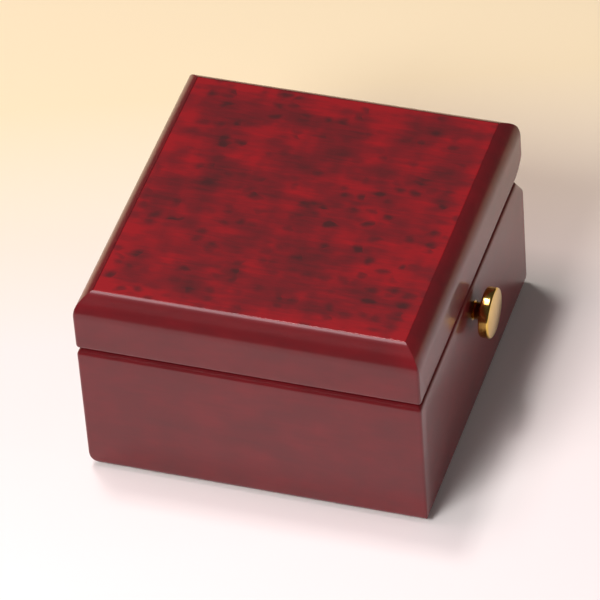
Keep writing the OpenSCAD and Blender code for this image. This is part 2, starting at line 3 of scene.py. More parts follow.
import bmesh
import bpy
import numpy as np
from mathutils import Matrix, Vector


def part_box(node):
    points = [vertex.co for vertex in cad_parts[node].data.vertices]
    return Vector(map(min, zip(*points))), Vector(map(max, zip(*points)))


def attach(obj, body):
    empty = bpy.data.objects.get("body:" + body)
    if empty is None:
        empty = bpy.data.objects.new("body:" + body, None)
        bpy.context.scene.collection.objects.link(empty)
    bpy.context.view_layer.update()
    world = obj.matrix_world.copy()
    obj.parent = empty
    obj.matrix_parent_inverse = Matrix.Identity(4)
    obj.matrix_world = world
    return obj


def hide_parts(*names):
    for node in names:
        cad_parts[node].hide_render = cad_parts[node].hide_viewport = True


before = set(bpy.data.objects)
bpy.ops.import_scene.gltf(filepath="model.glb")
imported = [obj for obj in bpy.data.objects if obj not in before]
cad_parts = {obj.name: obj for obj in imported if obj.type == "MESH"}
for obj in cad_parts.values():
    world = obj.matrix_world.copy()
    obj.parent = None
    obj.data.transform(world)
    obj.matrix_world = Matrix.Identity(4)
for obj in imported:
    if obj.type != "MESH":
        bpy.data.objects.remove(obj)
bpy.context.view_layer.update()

# ---- Camera -------------------------------------------------------------------------------
# A long lens in front of the box, well above it and a little to its right, with a slight roll.
# Its three directions and its place are given in the frame's axes, in metres.
view_camera = bpy.data.cameras.new("view_camera")
view_camera.lens = 326.9
view_camera.sensor_width = 36
view_camera.clip_start, view_camera.clip_end = 0.1, 20
camera_holder = bpy.data.objects.new("view_camera", view_camera)
bpy.context.scene.collection.objects.link(camera_holder)
to_right = (0.95330, 0.29613, -0.05931)
to_down = (0.15756, -0.65518, -0.73886)
ahead = (-0.25766, 0.69501, -0.67125)
camera_place = np.eye(4)
camera_place[:3, 0] = to_right
camera_place[:3, 1] = [-v for v in to_down]
camera_place[:3, 2] = [-v for v in ahead]
camera_place[:3, 3] = (0.40537, -1.09846, 1.08901)
camera_holder.matrix_world = Matrix(camera_place.tolist())
bpy.context.scene.camera = camera_holder
bpy.context.scene.view_settings.view_transform = "Standard"


# ---- Table and studio ---------------------------------------------------------------------
# The box stands on a sheet of cream card that ends a little in front of it. Lamps over its left
# side, ahead and behind, give its shadows, one over its top draws the light line along the
# moulding, and two broad weak ones stand in front and to the right.
def node_material(name):
    """An empty node material with a Principled shader, and a function that adds a node with its
    settings."""
    made = bpy.data.materials.new(name)
    made.use_nodes = True
    tree = made.node_tree
    shader = tree.nodes["Principled BSDF"]

    def add(kind, **settings):
        node = tree.nodes.new("ShaderNode" + kind)
        for key, value in settings.items():
            if hasattr(node, key) and key not in node.inputs:
                setattr(node, key, value)
            else:
                node.inputs[key.replace("_", " ")].default_value = value
        return node
    return made, shader, add, tree.links.new


def ramp(add, link, source, stops):
    """A colour ramp fed by a factor: stops are pairs of a place and a colour."""
    node = add("ValToRGB")
    bar = node.color_ramp
    for k, (place, colour) in enumerate(stops):
        stop = bar.elements[k] if k < 2 else bar.elements.new(place)
        stop.position = place
        stop.color = (*colour, 1)
    link(source, node.inputs["Fac"])
    return node.outputs["Color"]


def card_finish():
    """Cream card: a ramp from a cool white in front to a warm cream at the back and left, 20 degrees off
    Y, and a faint mottle in the relief."""
    made, shader, add, link = node_material("cream_card")
    place = add("TexCoord")
    spread = add("Mapping")
    spread.inputs["Rotation"].default_value = (0, 0, math.radians(-110.4))
    spread.inputs["Scale"].default_value = (5, 5, 5)
    spread.inputs["Location"].default_value = (0.35, 0, 0)
    link(place.outputs["Object"], spread.inputs["Vector"])
    apart = add("SeparateXYZ")
    link(spread.outputs["Vector"], apart.inputs["Vector"])
    tint = ramp(add, link, apart.outputs["X"], [
        (0.0, (0.90, 0.865, 0.86)), (0.45, (0.90, 0.86, 0.83)), (1.0, (0.92, 0.80, 0.54))])
    link(tint, shader.inputs["Base Color"])
    shader.inputs["Roughness"].default_value = 0.9
    shader.inputs["Specular IOR Level"].default_value = 0.15
    mottle = add("TexNoise", Scale=60.0, Detail=4.0)
    link(place.outputs["Object"], mottle.inputs["Vector"])
    relief = add("Bump", Strength=0.03, Distance=0.0005)
    link(mottle.outputs["Fac"], relief.inputs["Height"])
    link(relief.outputs["Normal"], shader.inputs["Normal"])
    return made


card_half = 2.2
card_front = -0.26
card = bpy.data.meshes.new("table_card")
card.from_pydata([(-card_half, card_front, 0), (card_half, card_front, 0),
                  (card_half, card_half, 0), (-card_half, card_half, 0)], [], [(0, 1, 2, 3)])
card.materials.append(card_finish())
table_card = bpy.data.objects.new("table_card", card)
bpy.context.scene.collection.objects.link(table_card)


def lamp(name, toward, away, size, watts, colour, mirrored=True):
    """A soft rectangular lamp that stands off from the box along a direction and faces a point aim_z over
    the table. One that isn't mirrored lights the box but doesn't show in its gloss."""
    aim_z = 0.03
    light = bpy.data.lights.new(name, "AREA")
    light.shape = "RECTANGLE"
    light.size, light.size_y = size
    light.energy = watts
    light.color = colour
    holder = bpy.data.objects.new(name, light)
    out = np.array(toward, float)
    out /= np.linalg.norm(out)
    across = np.cross((0, 1, 0), out)
    across /= np.linalg.norm(across)
    stand = np.eye(4)
    stand[:3, 0], stand[:3, 1], stand[:3, 2] = across, np.cross(out, across), out
    stand[:3, 3] = out * away + (0, 0, aim_z)
    holder.matrix_world = Matrix(stand.tolist())
    holder.visible_glossy = mirrored
    bpy.context.scene.collection.objects.link(holder)


lamp("back_lamp", (-0.20, 0.14, 1), 1.3, (0.16, 0.16), 4.6, (1, 0.97, 0.95))
lamp("front_lamp", (-0.26, -0.70, 0.67), 1.2, (0.5, 0.5), 11.4, (1, 0.97, 0.96), mirrored=False)
lamp("top_lamp", (-0.26, -0.06, 0.96), 1.3, (0.46, 0.40), 5.2, (1, 0.74, 0.78))
lamp("front_fill", (-0.35, -1.0, 0.75), 1.6, (1.4, 0.8), 2.0, (1, 0.97, 0.95), mirrored=False)
lamp("right_fill", (1.0, 0.1, 0.30), 1.5, (0.9, 0.9), 3.8, (1, 0.95, 0.93), mirrored=False)
room = bpy.data.worlds.new("dim_room")
room.use_nodes = True
room.node_tree.nodes["Background"].inputs["Color"].default_value = (0.055, 0.05, 0.05, 1)
room.node_tree.nodes["Background"].inputs["Strength"].default_value = 1.0
bpy.context.scene.world = room


# ---- Base boards --------------------------------------------------------------------------
# Four boards 8 mm thick, mitred at the corners and lacquered deep red over a printed burl.
# The feet and rims are rounded, and a bevel runs along the back to make room for the lid.
MM = 0.001
half_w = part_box("right_board")[1].x / MM
half_d = round(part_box("back_board")[1].y / MM, 3)
wall, corner_r = 8.0, 0.9
rim_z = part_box("front_board")[1].z / MM
foot_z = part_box("front_board")[0].z / MM
foot_r, far_foot_r, rim_r = 2.2, 5.5, 2.0
bevel_in, bevel_drop, bevel_ease = 6.8, 8.2, 2.0
# each side's outward direction, and the direction in which its stations run
sides = {"front": ((0, -1), (1, 0)), "right": ((1, 0), (0, 1)),
         "back": ((0, 1), (-1, 0)), "left": ((-1, 0), (0, -1))}


def lacquer_finish(name, contrast, spots, painted_edge_light, bright, middle, dark):
    """Burl under clear lacquer. Five noises, from fine streaks along X to slow clouds, are added with
    weights and move the red between dark, middle and bright. Where spots isn't 0, small dark eyes, each a
    rounded cell of a bent Voronoi net, are taken off and gather where the slow noise is high. Where it is
    asked for, painted light brightens the red near the edges of the panel: a painted highlight, not a
    colour of the burl. A gloss coat with a faint ripple lies over it."""
    made, shader, add, link = node_material(name)
    place = add("TexCoord").outputs["Object"]

    def noise_along(scale, stretch, detail, rough=0.5):
        """A noise of a scale, drawn out along an axis where its stretch is under 1."""
        spread = add("Mapping")
        spread.inputs["Scale"].default_value = stretch
        link(place, spread.inputs["Vector"])
        grain = add("TexNoise", Scale=scale, Detail=detail, Roughness=rough)
        link(spread.outputs[0], grain.inputs["Vector"])
        return grain.outputs["Fac"]

    def sum_of(first, factor, second=None):
        """first * factor + second, where second is left out for the first layer."""
        total = add("Math", operation="MULTIPLY_ADD")
        link(first, total.inputs[0])
        total.inputs[1].default_value = factor
        total.inputs[2].default_value = 0.0
        if second is not None:
            link(second, total.inputs[2])
        return total.outputs[0]

    def product(first, second):
        """first * second."""
        total = add("Math", operation="MULTIPLY")
        link(first, total.inputs[0])
        link(second, total.inputs[1])
        return total.outputs[0]

    def between(source, low, high, start, end, smooth=False):
        """Carries low..high over to start..end, held at both ends, in a straight line or an S-curve."""
        span = add("MapRange")
        span.interpolation_type = "SMOOTHSTEP" if smooth else "LINEAR"
        for key, value in (("From Min", low), ("From Max", high), ("To Min", start), ("To Max", end)):
            span.inputs[key].default_value = value
        link(source, span.inputs["Value"])
        return span.outputs[0]

    slow = noise_along(38.0, (0.7, 1, 1), 1.0)
    layers = [(noise_along(900.0, (0.12, 1, 1), 4.0, 0.65), 0.50),
              (noise_along(280.0, (0.3, 1, 1), 3.0), 0.55),
              (noise_along(105.0, (1, 0.33, 1), 2.0), 0.85),
              (noise_along(120.0, (0.6, 1, 1), 2.0), 0.95),
              (slow, 0.35)]
    tone = None
    for layer, weight in layers:
        tone = sum_of(layer, weight, tone)
    if spots:
        bend = add("VectorMath", operation="MULTIPLY_ADD")
        wander = add("TexNoise", Scale=150.0, Detail=2.0)
        link(place, wander.inputs["Vector"])
        link(wander.outputs["Color"], bend.inputs[0])
        bend.inputs[1].default_value = (0.006, 0.004, 0.004)
        link(place, bend.inputs[2])
        squeeze = add("Mapping")
        squeeze.inputs["Scale"].default_value = (0.80, 1, 1)
        link(bend.outputs[0], squeeze.inputs["Vector"])
        cells = add("TexVoronoi", voronoi_dimensions="2D", Scale=250.0, Randomness=1.0)
        link(squeeze.outputs[0], cells.inputs["Vector"])
        eye = between(cells.outputs["Distance"], 0.04, 0.52, 1.0, 0.0, smooth=True)
        lucky = add("SeparateColor")
        link(cells.outputs["Color"], lucky.inputs["Color"])
        chosen = between(lucky.outputs["Red"], 0.35, 1.0, 0.0, 1.0)
        region = between(slow, 0.40, 0.60, 0.45, 1.0, smooth=True)
        tone = sum_of(product(product(eye, chosen), region), -spots, tone)
    # Painted light: within 8 mm of the panel's edges the red is made brighter, a painted highlight and not a
    # colour of the burl.
    if painted_edge_light:
        apart = add("SeparateXYZ")
        link(place, apart.inputs["Vector"])
        for axis, panel_edge in (("X", half_w - 5), ("Y", half_d - 5)):
            away = add("Math", operation="ABSOLUTE")
            link(apart.outputs[axis], away.inputs[0])
            near = between(away.outputs[0], (panel_edge - 8) * MM, (panel_edge - 0.5) * MM, 0.0, 1.0,
                           smooth=True)
            tone = sum_of(near, painted_edge_light, tone)
    middle_tone = 0.5 * sum(weight for _, weight in layers)
    share = between(tone, middle_tone - 0.62 / contrast, middle_tone + 0.42 / contrast, 0.0, 1.0)
    tint = ramp(add, link, share, [(0.0, dark), (0.55, middle), (1.0, bright)])
    link(tint, shader.inputs["Base Color"])
    shader.inputs["Roughness"].default_value = 0.5
    shader.inputs["Specular IOR Level"].default_value = 0.15
    shader.inputs["Coat Weight"].default_value = 0.75
    shader.inputs["Coat Roughness"].default_value = 0.16
    shader.inputs["Coat IOR"].default_value = 1.47
    ripple = add("TexNoise", Scale=170.0, Detail=1.5)
    link(place, ripple.inputs["Vector"])
    relief = add("Bump", Strength=0.05, Distance=0.0002)
    link(ripple.outputs["Fac"], relief.inputs["Height"])
    link(relief.outputs["Normal"], shader.inputs["Coat Normal"])
    link(relief.outputs["Normal"], shader.inputs["Normal"])
    return made


board_lacquer = lacquer_finish("board_lacquer", contrast=0.8, spots=0.0, painted_edge_light=0.0,
                               bright=(0.168, 0.009, 0.013), middle=(0.124, 0.009, 0.012),
                               dark=(0.082, 0.010, 0.012))


def rounding(u, r):
    """How far an edge of radius r has fallen at a distance u in from the face: r less the root of r^2 -
    (r - u)^2."""
    inward = np.clip(r - u, 0, r)
    return r - np.sqrt(r * r - inward * inward)


def bevel_fall(y):
    """How far the back bevel lies under the rim: a straight fall of bevel_drop over bevel_in, which an
    arc of radius bevel_ease turns into the back face."""
    lean = math.atan(bevel_in / bevel_drop)
    reach = bevel_ease * math.tan(lean / 2)
    back = half_d - y
    short = bevel_ease - np.clip(back, 0, bevel_ease)
    on_arc = bevel_drop + reach - np.sqrt(np.clip(bevel_ease ** 2 - short ** 2, 0, None))
    straight = bevel_drop * (1 - back / bevel_in)
    return np.clip(np.where(back < reach * math.sin(lean), on_arc, straight), 0, None)


def mitred_run(name, side, profile_u, height, finish, body, nodes, stations):
    """One board or rail: the closed profile (u in from the outer face) is carried along its side, each
    point as far as the mitre, clip(station, +-(length - u)), and then round half of a small corner of
    radius corner_r - u. height(x, y) gives the z of every point of the grid, and the two ends are closed
    on the mitres."""
    out, along = (np.array(v, float) for v in sides[side])
    reach, off = (half_w, half_d) if side in ("front", "back") else (half_d, half_w)
    u = np.asarray(profile_u, float)[:, None]
    r = np.clip(corner_r - u, 0, None)
    steps, past_end = 5, 1000.0
    turn = np.radians(np.linspace(45 / steps, 45, steps))
    s = np.concatenate([-np.ones(steps), np.zeros(len(stations)), np.ones(steps)])[None, :]
    phi = np.concatenate([turn[::-1], np.zeros(len(stations)), turn])[None, :]
    straight = np.concatenate([[-past_end] * steps, stations, [past_end] * steps])[None, :]
    limit = reach - u - r
    run = np.clip(straight, -limit, limit) + s * r * np.sin(phi)
    outward = off - u - r + r * np.cos(phi)
    x, y = (out[k] * outward + along[k] * run for k in (0, 1))
    z = height(x, y)
    rows, cols = x.shape
    index = np.arange(rows * cols).reshape(rows, cols)
    after = np.roll(index, -1, axis=0)
    quads = np.stack([index[:, :-1], index[:, 1:], after[:, 1:], after[:, :-1]], -1).reshape(-1, 4)
    corners = np.stack([x, y, z], -1).reshape(-1, 3) * MM
    return mesh_piece(name, corners, quads.tolist() + [index[:, 0].tolist(), index[::-1, -1].tolist()],
                      finish, body, nodes)


sharp_edge = 28


def mesh_piece(name, corners, faces, finish, body, nodes, crease=sharp_edge, merge=2e-6):
    """A closed piece from its corners and faces: doubles are merged, faces turned outwards, and edges
    sharper than the crease angle stay sharp. It rides on its body and stands for its CAD nodes."""
    mesh = bpy.data.meshes.new(name)
    mesh.from_pydata(np.asarray(corners).tolist(), [], faces)
    work = bmesh.new()
    work.from_mesh(mesh)
    bmesh.ops.remove_doubles(work, verts=work.verts, dist=merge)
    bmesh.ops.dissolve_degenerate(work, dist=merge / 2, edges=work.edges)
    bmesh.ops.recalc_face_normals(work, faces=work.faces)
    work.to_mesh(mesh)
    work.free()
    mesh.materials.append(finish)
    mesh.shade_smooth()
    mesh.set_sharp_from_angle(angle=math.radians(crease))
    piece = bpy.data.objects.new(name, mesh)
    bpy.context.scene.collection.objects.link(piece)
    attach(piece, body)
    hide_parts(*nodes)
    return piece


def cut_away(piece, cutter_corners, cutter_faces):
    """Takes a closed cutter out of a piece with an exact boolean, which is applied, and drops the
    cutter."""
    mesh = bpy.data.meshes.new("cutter")
    mesh.from_pydata(np.asarray(cutter_corners).tolist(), [], cutter_faces)
    work = bmesh.new()
    work.from_mesh(mesh)
    bmesh.ops.recalc_face_normals(work, faces=work.faces)
    work.to_mesh(mesh)
    work.free()
    cutter = bpy.data.objects.new("cutter", mesh)
    bpy.context.scene.collection.objects.link(cutter)
    bore = piece.modifiers.new("bore", "BOOLEAN")
    bore.operation, bore.solver, bore.object = "DIFFERENCE", "EXACT", cutter
    graph = bpy.context.evaluated_depsgraph_get()
    result = bpy.data.meshes.new_from_object(piece.evaluated_get(graph))
    piece.modifiers.clear()
    old = piece.data
    piece.data = result
    bpy.data.meshes.remove(old)
    bpy.data.objects.remove(cutter)
    piece.data.shade_smooth()
    piece.data.set_sharp_from_angle(angle=math.radians(sharp_edge))


def rod_cutter(start, end, radius, axis, count=72):
    """A round bar between two points on one axis: two rings of points joined by quads, with flat ends."""
    turn = np.arange(count) * 2 * math.pi / count
    ring = np.stack([np.cos(turn), np.sin(turn)], -1) * radius
    other = [k for k in range(3) if k != axis]
    points = np.zeros((2, count, 3))
    for k, end_point in enumerate((start, end)):
        points[k] = end_point
        points[k][:, other] += ring
    near, far = np.arange(count), np.arange(count) + count
    quads = np.stack([near, np.roll(near, -1), np.roll(far, -1), far], -1).tolist()
    return points.reshape(-1, 3) * MM, quads + [near.tolist(), far[::-1].tolist()]


def box_cutter(low, high):
    """A box between two opposite corners: corner (i, j, k) is low + (i, j, k) * (high - low)."""
    low, high = np.array(low, float), np.array(high, float)
    pick = np.array([[i, j, k] for i in (0, 1) for j in (0, 1) for k in (0, 1)])
    faces = [(0, 1, 3, 2), (4, 6, 7, 5), (0, 4, 5, 1), (2, 3, 7, 6), (0, 2, 6, 4), (1, 5, 7, 3)]
    return (low + pick * (high - low)) * MM, faces


edge_turn = np.radians(np.linspace(0, 90, 11))
foot_arcs = [r * (1 - np.sin(edge_turn)) for r in (foot_r, far_foot_r)]
foot_u = np.unique(np.round(np.concatenate(foot_arcs), 4))[::-1]
rim_arc, rim_flat = rim_r * (1 - np.cos(edge_turn)), np.arange(2.4, wall, 0.55)
rim_u = np.unique(np.round(np.concatenate([rim_arc, rim_flat, [0.1, 0.25, bevel_in, wall]]), 4))
face_levels = np.linspace(0, 1, 9)[1:-1]
board_u = np.concatenate([foot_u, 0 * face_levels, rim_u, [wall] * 4, [wall - 0.01]])
board_part = np.concatenate([0 * foot_u, 0 * face_levels + 1, 0 * rim_u + 2, [3] * 4, [4]])
board_level = np.concatenate([0 * foot_u, face_levels, rim_u, [0.75, 0.5, 0.25, 0.0], [0]])


def foot_line(x, y):
    """z of the underside: the highest of the four roundings of its edges, wide at the back and left,
    small at the front and right."""
    return foot_z + np.max([rounding(half_d + y, foot_r), rounding(half_w - x, foot_r),
                            rounding(half_d - y, far_foot_r), rounding(half_w + x, far_foot_r)], axis=0)


def board_height(side):
    """z of a board's grid. The rim lies at rim_z less the back bevel's fall and the rim's rounding, the
    foot on its own line, and the points on the faces are spread evenly between the two."""
    def height(x, y):
        rim_inset = half_w - np.abs(x) if side == "back" else board_u[:, None] + 0 * x
        fall = bevel_fall(half_d - board_u[:, None] + 0 * x) if side == "back" else bevel_fall(y)
        rim = rim_z - fall - rounding(rim_inset, rim_r)
        outer_top = rim[len(foot_u) + len(face_levels)][None, :]
        part, level = board_part[:, None], board_level[:, None]
        foot = foot_line(x, y)
        outer_low = foot[len(foot_u) - 1][None, :]
        outer = outer_low + level * (outer_top - outer_low)
        inner_top = rim[len(foot_u) + len(face_levels) + len(rim_u) - 1][None, :]
        inner = foot_z + level * (inner_top - foot_z)
        return np.select([part == 0, part == 1, part == 2, part == 3], [foot, outer, rim, inner], foot)
    return height


end_steps = np.array([0, 0.1, 0.25, 0.45, 0.7, 1, 1.35, 1.7, 2, 2.6, 3.3, 4.1, 4.9, 5.5])
x_stations = np.unique(np.concatenate([np.linspace(-44, 44, 9), half_w - end_steps, end_steps - half_w]))
bevel_start = half_d - bevel_in
back_steps = [half_d - end_steps, np.arange(bevel_start, 51, 0.6), [45, bevel_start]]
y_stations = np.unique(np.concatenate([np.linspace(-48, 40, 12), *back_steps]))


def side_stations(side):
    """Where the profile is placed along a side: by x in front and behind, by y on the right, and by -y on
    the left, which runs the other way."""
    if side in ("front", "back"):
        return x_stations
    return y_stations if side == "right" else np.sort(-y_stations)


boards = {
    side: mitred_run(f"{side}_wall", side, board_u, board_height(side), board_lacquer, "case",
                     [f"{side}_board"], side_stations(side))
    for side in sides}
knob_z, bush_r, bore_from, bore_to = 35.5, 3.0, 40, 60
cut_away(boards["right"], *rod_cutter((bore_from, 0, knob_z), (bore_to, 0, knob_z), bush_r, 0))

# ---- Lid ----------------------------------------------------------------------------------
# Four mitred rails with a rounded moulding round the top, and a burl panel set in their seat.
# The lower back edge is taken off in an arc, so that the lid can swing.
lid_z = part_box("lid_front_rail")[0].z / MM
case_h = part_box("lid_top_panel")[1].z / MM
seat_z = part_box("lid_top_panel")[0].z / MM
crease_in, crease_drop, lid_r = 5.0, 7.6, 1.5
moulding_r = (crease_in ** 2 + crease_drop ** 2) / (2 * crease_in)
moulding_turn = np.linspace(0, math.asin(crease_drop / moulding_r), 21)
arc_r, arc_in = 9.6, 7.9
moulding_z = case_h - crease_drop


def arc_rise(y):
    """How far the lid's lower back edge is taken off: an arc of radius arc_r that starts flat, arc_in
    from the back."""
    inward = np.clip(y - (half_d - arc_in), 0, arc_in)
    return arc_r - np.sqrt(arc_r ** 2 - inward ** 2)


low_arc, low_flat = lid_r * (1 - np.cos(edge_turn)), np.arange(2, wall, 0.6)
low_u = np.unique(np.round(np.concatenate([low_arc, low_flat, [arc_in, wall]]), 4))[::-1]
rail_u = np.concatenate([low_u, 0 * face_levels, moulding_r * (1 - np.cos(moulding_turn)),
                         [crease_in, wall], [wall] * 3])
rail_part = np.concatenate([0 * low_u, 0 * face_levels + 1, 0 * moulding_turn + 2, [3, 3], [4] * 3])
rail_level = np.concatenate([low_u, face_levels, moulding_r * np.sin(moulding_turn),
                             [0, 0], [0.75, 0.5, 0.25]])


def rail_height(side):
    """z of a rail's grid: the underside on the back arc and the edge's rounding, the outer face spread
    between it and the moulding, the moulding on its circle, then the seat and the inner face."""
    def height(x, y):
        edge = half_w - np.abs(x) if side == "back" else rail_u[:, None] + 0 * x
        rise = arc_rise(half_d - rail_u[:, None] + 0 * x) if side == "back" else arc_rise(y)
        low = lid_z + rise + rounding(edge, lid_r)
        outer_low = low[len(low_u) - 1][None, :]
        inner_low = low[0][None, :]
        part, level = rail_part[:, None], rail_level[:, None]
        outer = outer_low + level * (moulding_z - outer_low)
        moulding, seat = moulding_z + level + 0 * x, seat_z + 0 * x
        inner = inner_low + level * (seat_z - inner_low)
        return np.select([part == 0, part == 1, part == 2, part == 3], [low, outer, moulding, seat], inner)
    return height


rails = {
    side: mitred_run(f"lid_{side}_moulding", side, rail_u, rail_height(side), board_lacquer, "lid",
                     [f"lid_{side}_rail"], side_stations(side))
    for side in sides}


corner_turn = np.radians(np.linspace(0, 90, 7))
four_corners = np.concatenate([corner_turn + k * math.pi / 2 for k in range(4)])
corner_x = np.repeat([1, -1, -1, 1], len(corner_turn))
corner_y = np.repeat([1, 1, -1, -1], len(corner_turn))


def stepped_plate(name, half_x, half_y, levels, round_r, finish, body, nodes, middle=(0, 0),
                  crease=sharp_edge):
    """A plate from rings of a rounded rectangle: each level is a pair of an inset and a height, each
    corner of a ring is an arc, and rings are joined by quads. A further ring a little inside the first
    and the last keeps the rounding off the flat faces, which are closed."""
    inside = 0.5
    (first_inset, first_z), (last_inset, last_z) = levels[0], levels[-1]
    rings = []
    for inset, z in [(first_inset + inside, first_z), *levels, (last_inset + inside, last_z)]:
        r = max(round_r - inset, 0.02)
        x = middle[0] + corner_x * (half_x - inset - r) + r * np.cos(four_corners)
        y = middle[1] + corner_y * (half_y - inset - r) + r * np.sin(four_corners)
        rings.append(np.stack([x, y, 0 * x + z], -1))
    count = len(four_corners)
    index = np.arange(len(rings) * count).reshape(len(rings), count)
    after = np.roll(index, -1, axis=1)
    quads = np.stack([index[:-1], after[:-1], after[1:], index[1:]], -1).reshape(-1, 4).tolist()
    return mesh_piece(name, np.concatenate(rings) * MM, quads + [index[0, ::-1].tolist(), index[-1].tolist()],
                      finish, body, nodes, crease)


# The panel's red is brightened near its edges by painted light, a painted highlight.
panel_lacquer = lacquer_finish("panel_lacquer", contrast=1.35, spots=0.55, painted_edge_light=0.24,
                               bright=(0.270, 0.010, 0.014), middle=(0.152, 0.0115, 0.015),
                               dark=(0.060, 0.0140, 0.0150))
panel_ease, panel_corner, soft_crease = 0.3, 0.4, 50
panel_turn = edge_turn[::2]
eased = zip(panel_ease * (1 - np.cos(panel_turn)), case_h - panel_ease * (1 - np.sin(panel_turn)))
stepped_plate("burl_panel", half_w - crease_in, half_d - crease_in, [(0.0, seat_z), *eased], panel_corner,
              panel_lacquer, "lid", ["lid_top_panel"], crease=soft_crease)

# ---- Stop knob ----------------------------------------------------------------------------
# A turned brass knob on a steel rod. Its head is a thick disc with eased edges and a face that
# rises a little, polished and clear-lacquered. The neck meets the wall when the music is off.


def brass_finish(name, rough, bright, dull):
    """Brass: a metal whose colour and gloss drift a little with two noises, with faint fine scratches."""
    made, shader, add, link = node_material(name)
    place = add("TexCoord").outputs["Object"]
    tarnish = add("TexNoise", Scale=90.0, Detail=4.0, Roughness=0.6)
    link(place, tarnish.inputs["Vector"])
    link(ramp(add, link, tarnish.outputs["Fac"], [(0.35, dull), (0.62, bright)]), shader.inputs["Base Color"])
    shader.inputs["Metallic"].default_value = 1.0
    gloss = add("MapRange")
    gloss.inputs["To Min"].default_value, gloss.inputs["To Max"].default_value = rough * 0.7, rough * 1.4
    link(tarnish.outputs["Fac"], gloss.inputs["Value"])
    link(gloss.outputs[0], shader.inputs["Roughness"])
    scratch = add("TexNoise", Scale=1500.0, Detail=2.0)
    link(place, scratch.inputs["Vector"])
    relief = add("Bump", Strength=0.05, Distance=0.00005)
    link(scratch.outputs["Fac"], relief.inputs["Height"])
    link(relief.outputs["Normal"], shader.inputs["Normal"])
    return made


polished_brass = brass_finish("polished_brass", 0.13, (0.82, 0.56, 0.15), (0.68, 0.43, 0.09))


def turned_piece(name, profile, centre, axis, finish, body, nodes, count=128, crease=sharp_edge):
    """A turned solid: a profile of (distance along the axis, radius) is carried round the axis, and its
    two ends close on the axis in one point each."""
    profile = np.asarray(profile, float)
    turn = np.arange(count) * 2 * math.pi / count
    other = [k for k in range(3) if k != axis]
    points = np.zeros((len(profile), count, 3))
    points[:, :, axis] = profile[:, :1]
    points[:, :, other[0]] = profile[:, 1:] * np.cos(turn)
    points[:, :, other[1]] = profile[:, 1:] * np.sin(turn)
    points = (points.reshape(-1, 3) + centre) * MM
    index = np.arange(len(profile) * count).reshape(len(profile), count)
    after = np.roll(index, -1, axis=1)
    quads = np.stack([index[:-1], after[:-1], after[1:], index[1:]], -1).reshape(-1, 4).tolist()
    return mesh_piece(name, points, quads, finish, body, nodes, crease, merge=1e-7)


head_r, head_t, head_edge, head_dome = 7.5, 3.5, 0.6, 0.35
neck, neck_r, fillet = 3.0, 2.6, 0.3
dome_r = (head_r ** 2 + head_dome ** 2) / (2 * head_dome)
half_turn = np.radians(np.linspace(0, 90, 9))
face_r = np.linspace(head_r - head_edge, 0, 26)
dome_x = neck + head_t - dome_r + np.sqrt(dome_r ** 2 - face_r ** 2)
rise, run = head_edge * (1 - np.cos(half_turn)), head_edge * (1 - np.sin(half_turn))
knob_profile = np.concatenate([
    [(0, 0), (0, neck_r - fillet), (fillet, neck_r), (neck - fillet, neck_r), (neck, neck_r + fillet)],
    [(neck, head_r - head_edge)],
    np.stack([neck + rise, head_r - run], -1),
    np.stack([dome_x[0] - run, head_r - rise], -1),
    np.stack([dome_x, face_r], -1)[1:]])
turned_piece("turned_knob", knob_profile, (half_w, 0, knob_z), 0, polished_brass, "stop_slide",
             ["stop_knob"], crease=soft_crease)


def finish_nodes(finish, *names):
    """Gives CAD nodes a finish in place of their plain one."""
    for name in names:
        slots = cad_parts[name].data.materials
        slots.clear()
        slots.append(finish)


finish_nodes(polished_brass, "knob_bush", "rod_collar", "stop_arm", "winding_key")

# ---- Hinges -------------------------------------------------------------------------------
# Two brass butt hinges let into the rims, their barrels in the notch at the back. Each leaf is
# held by two small slotted screws, and the pins are steel.
hinge_axis_y, hinge_axis_z, barrel_r = 49.5, 45.5, 1.9
leaf_t, leaf_y, leaf_end_y = 0.9, 45.1, hinge_axis_y - 1
hinge_x, hinge_half, play, spare = 28, 11, 0.3, 1
for centre_x in (-hinge_x, hinge_x):
    low_x, high_x = centre_x - hinge_half, centre_x + hinge_half
    cut_away(boards["back"], *box_cutter((low_x, leaf_y, rim_z - leaf_t),
                                         (high_x, leaf_end_y, rim_z + spare)))
    cut_away(rails["back"], *box_cutter((low_x, leaf_y, lid_z - spare),
                                        (high_x, leaf_end_y, lid_z + leaf_t)))
    cut_away(rails["back"], *rod_cutter((low_x - play, hinge_axis_y, hinge_axis_z),
                                        (high_x + play, hinge_axis_y, hinge_axis_z), barrel_r + play, 0))


def steel_finish(name, rough, colour):
    """Steel or zinc: a metal with a slow drift in its gloss and a fine grain in its relief."""
    made, shader, add, link = node_material(name)
    place = add("TexCoord").outputs["Object"]
    drift = add("TexNoise", Scale=120.0, Detail=3.0)
    link(place, drift.inputs["Vector"])
    shade = tuple(0.82 * c for c in colour)
    link(ramp(add, link, drift.outputs["Fac"], [(0.3, shade), (0.65, colour)]), shader.inputs["Base Color"])
    shader.inputs["Metallic"].default_value = 1.0
    gloss = add("MapRange")
    gloss.inputs["To Min"].default_value, gloss.inputs["To Max"].default_value = rough * 0.7, rough * 1.3
    link(drift.outputs["Fac"], gloss.inputs["Value"])
    link(gloss.outputs[0], shader.inputs["Roughness"])
    grain = add("TexNoise", Scale=2600.0, Detail=2.0)
    link(place, grain.inputs["Vector"])
    relief = add("Bump", Strength=0.12, Distance=0.00006)
    link(grain.outputs["Fac"], relief.inputs["Height"])
    link(relief.outputs["Normal"], shader.inputs["Normal"])
    return made


bright_steel = steel_finish("bright_steel", 0.22, (0.66, 0.67, 0.69))
finish_nodes(polished_brass, "hinge_base_leaves", "hinge_lid_leaves", "hinge_base_screws", "hinge_lid_screws")
finish_nodes(bright_steel, "hinge_pins", "stop_rod")

